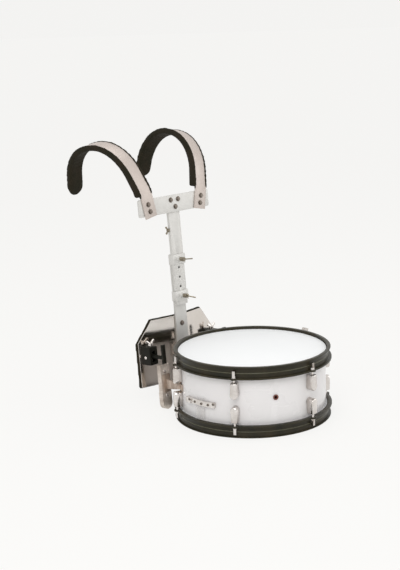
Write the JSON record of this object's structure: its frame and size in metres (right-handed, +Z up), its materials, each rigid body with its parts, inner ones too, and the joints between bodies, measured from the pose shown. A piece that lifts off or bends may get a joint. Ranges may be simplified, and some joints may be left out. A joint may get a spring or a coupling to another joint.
{
  "type": "marching snare drum with shoulder carrier",
  "caption": "Snare drum held level in front of the body by an aluminium carrier with a belly plate and two padded shoulder hooks.",
  "frame": {"origin": "on the ground under the middle of the whole object; the drum stands on the rim of its lower hoop at z = 0", "axes": "+Z up along the drum axis, +Y from the drum to the player, +X to the left of the player, who faces -Y"},
  "size_m": [0.3944, 0.7084, 0.6648],
  "materials": {
    "white_lacquer": "smooth white lacquer",
    "head_film": "coated drumhead film",
    "black_paint": "gloss black enamel",
    "chrome_plate": "mirror chrome",
    "satin_aluminium": "satin",
    "polished_aluminium": "polished",
    "black_foam": "matt closed-cell foam",
    "black_plastic": "fine moulded grain",
    "snare_steel": "bright coiled wire",
    "clear_strap": "thin plastic strap",
    "grommet_metal": "red-brown enamel"
  },
  "bodies": {
    "drum": {"shell": "white_lacquer", "batter_head": "head_film", "snare_head": "head_film", "batter_hoop": "black_paint", "snare_hoop": "black_paint", "butt_plate": "chrome_plate", "butt_strap": "clear_strap", "strainer_body": "chrome_plate", "vent_grommet": "grommet_metal", "lug_upper_1": "chrome_plate", "lug_upper_2": "chrome_plate", "lug_upper_3": "chrome_plate", "lug_upper_4": "chrome_plate", "lug_upper_5": "chrome_plate", "lug_upper_6": "chrome_plate", "lug_lower_1": "chrome_plate", "lug_lower_2": "chrome_plate", "lug_lower_3": "chrome_plate", "lug_lower_4": "chrome_plate", "lug_lower_5": "chrome_plate", "lug_lower_6": "chrome_plate", "drum_arm_left": "chrome_plate", "hanger_left": "black_plastic", "leg_left": "chrome_plate", "drum_arm_right": "chrome_plate", "hanger_right": "black_plastic", "leg_right": "chrome_plate"},
    "carrier": {"spine": "satin_aluminium", "belly_plate": "polished_aluminium", "belly_pad": "black_foam", "clamp_block_left": "black_plastic", "clamp_block_right": "black_plastic"},
    "yoke": {"height_bar": "satin_aluminium", "crossbar": "satin_aluminium", "shoulder_bar_left": "satin_aluminium", "shoulder_bar_right": "satin_aluminium", "shoulder_pad_left": "black_foam", "shoulder_pad_right": "black_foam"},
    "snares": {"snare_wires": "snare_steel", "strainer_strap": "clear_strap", "strainer_carriage": "chrome_plate"},
    "lever": {"strainer_lever": "chrome_plate"},
    "knob": {"strainer_knob": "chrome_plate"},
    "side_screw": {"side_wing_screw": "chrome_plate"},
    "bar_screw_lower": {"bar_wing_screw_lower": "chrome_plate"},
    "bar_screw_upper": {"bar_wing_screw_upper": "chrome_plate"},
    "clamp_screw_left": {"clamp_wing_screw_left": "chrome_plate"},
    "clamp_screw_right": {"clamp_wing_screw_right": "chrome_plate"},
    "rod_upper_1": {"tension_rod_upper_1": "chrome_plate"},
    "rod_upper_2": {"tension_rod_upper_2": "chrome_plate"},
    "rod_upper_3": {"tension_rod_upper_3": "chrome_plate"},
    "rod_upper_4": {"tension_rod_upper_4": "chrome_plate"},
    "rod_upper_5": {"tension_rod_upper_5": "chrome_plate"},
    "rod_upper_6": {"tension_rod_upper_6": "chrome_plate"},
    "rod_lower_1": {"tension_rod_lower_1": "chrome_plate"},
    "rod_lower_2": {"tension_rod_lower_2": "chrome_plate"},
    "rod_lower_3": {"tension_rod_lower_3": "chrome_plate"},
    "rod_lower_4": {"tension_rod_lower_4": "chrome_plate"},
    "rod_lower_5": {"tension_rod_lower_5": "chrome_plate"},
    "rod_lower_6": {"tension_rod_lower_6": "chrome_plate"}
  },
  "joints": [
    {"name": "carrier_height", "type": "slide", "parent": "drum", "child": "carrier", "axis": [0, 0.0811, 0.9967], "range_m": [-0.008, 0.008]},
    {"name": "yoke_height", "type": "slide", "parent": "carrier", "child": "yoke", "axis": [0, 0.0811, 0.9967], "range_m": [-0.048, 0.012]},
    {"name": "snare_release", "type": "hinge", "parent": "drum", "child": "lever", "pos_m": [0.1877, -0.15634, 0.08807], "axis": [0, 1, 0], "range_deg": [0, 75]},
    {"name": "snare_drop", "type": "hinge", "parent": "drum", "child": "snares", "pos_m": [-0.1612, -0.15634, 0.0045], "axis": [0, 1, 0], "range_deg": [0, 0.5]},
    {"name": "snare_tension", "type": "hinge", "parent": "snares", "child": "knob", "pos_m": [0.1874, -0.15634, 0.038], "axis": [0, 0, 1], "continuous": true},
    {"name": "tuning_upper_1", "type": "hinge", "parent": "drum", "child": "rod_upper_1", "pos_m": [-0.0052, 0.03356, 0.15], "axis": [0, 0, 1], "continuous": true},
    {"name": "tuning_upper_2", "type": "hinge", "parent": "drum", "child": "rod_upper_2", "pos_m": [-0.16966, -0.06139, 0.15], "axis": [0, 0, 1], "continuous": true},
    {"name": "tuning_upper_3", "type": "hinge", "parent": "drum", "child": "rod_upper_3", "pos_m": [-0.16966, -0.25129, 0.15], "axis": [0, 0, 1], "continuous": true},
    {"name": "tuning_upper_4", "type": "hinge", "parent": "drum", "child": "rod_upper_4", "pos_m": [-0.0052, -0.34624, 0.15], "axis": [0, 0, 1], "continuous": true},
    {"name": "tuning_upper_5", "type": "hinge", "parent": "drum", "child": "rod_upper_5", "pos_m": [0.15926, -0.25129, 0.15], "axis": [0, 0, 1], "continuous": true},
    {"name": "tuning_upper_6", "type": "hinge", "parent": "drum", "child": "rod_upper_6", "pos_m": [0.15926, -0.06139, 0.15], "axis": [0, 0, 1], "continuous": true},
    {"name": "tuning_lower_1", "type": "hinge", "parent": "drum", "child": "rod_lower_1", "pos_m": [-0.0052, 0.03356, 0.0195], "axis": [0, 0, 1], "continuous": true},
    {"name": "tuning_lower_2", "type": "hinge", "parent": "drum", "child": "rod_lower_2", "pos_m": [-0.16966, -0.06139, 0.0195], "axis": [0, 0, 1], "continuous": true},
    {"name": "tuning_lower_3", "type": "hinge", "parent": "drum", "child": "rod_lower_3", "pos_m": [-0.16966, -0.25129, 0.0195], "axis": [0, 0, 1], "continuous": true},
    {"name": "tuning_lower_4", "type": "hinge", "parent": "drum", "child": "rod_lower_4", "pos_m": [-0.0052, -0.34624, 0.0195], "axis": [0, 0, 1], "continuous": true},
    {"name": "tuning_lower_5", "type": "hinge", "parent": "drum", "child": "rod_lower_5", "pos_m": [0.15926, -0.25129, 0.0195], "axis": [0, 0, 1], "continuous": true},
    {"name": "tuning_lower_6", "type": "hinge", "parent": "drum", "child": "rod_lower_6", "pos_m": [0.15926, -0.06139, 0.0195], "axis": [0, 0, 1], "continuous": true},
    {"name": "clamp_screw_turn_left", "type": "hinge", "parent": "carrier", "child": "clamp_screw_left", "pos_m": [0.1038, 0.08725, 0.14813], "axis": [0, 0.0811, 0.9967], "continuous": true},
    {"name": "clamp_screw_turn_right", "type": "hinge", "parent": "carrier", "child": "clamp_screw_right", "pos_m": [-0.1142, 0.08725, 0.14813], "axis": [0, 0.0811, 0.9967], "continuous": true},
    {"name": "bar_screw_turn_lower", "type": "hinge", "parent": "carrier", "child": "bar_screw_lower", "pos_m": [-0.0052, 0.07254, 0.26089], "axis": [0, 0.9967, -0.0811], "continuous": true},
    {"name": "bar_screw_turn_upper", "type": "hinge", "parent": "carrier", "child": "bar_screw_upper", "pos_m": [-0.0052, 0.08008, 0.35359], "axis": [0, 0.9967, -0.0811], "continuous": true},
    {"name": "side_screw_turn", "type": "hinge", "parent": "yoke", "child": "side_screw", "pos_m": [-0.0245, 0.09925, 0.42828], "axis": [1, 0, 0], "continuous": true}
  ],
  "couplings": [
    {"joint": "snare_drop", "follows": "snare_release", "ratio": 0.0066667}
  ]
}
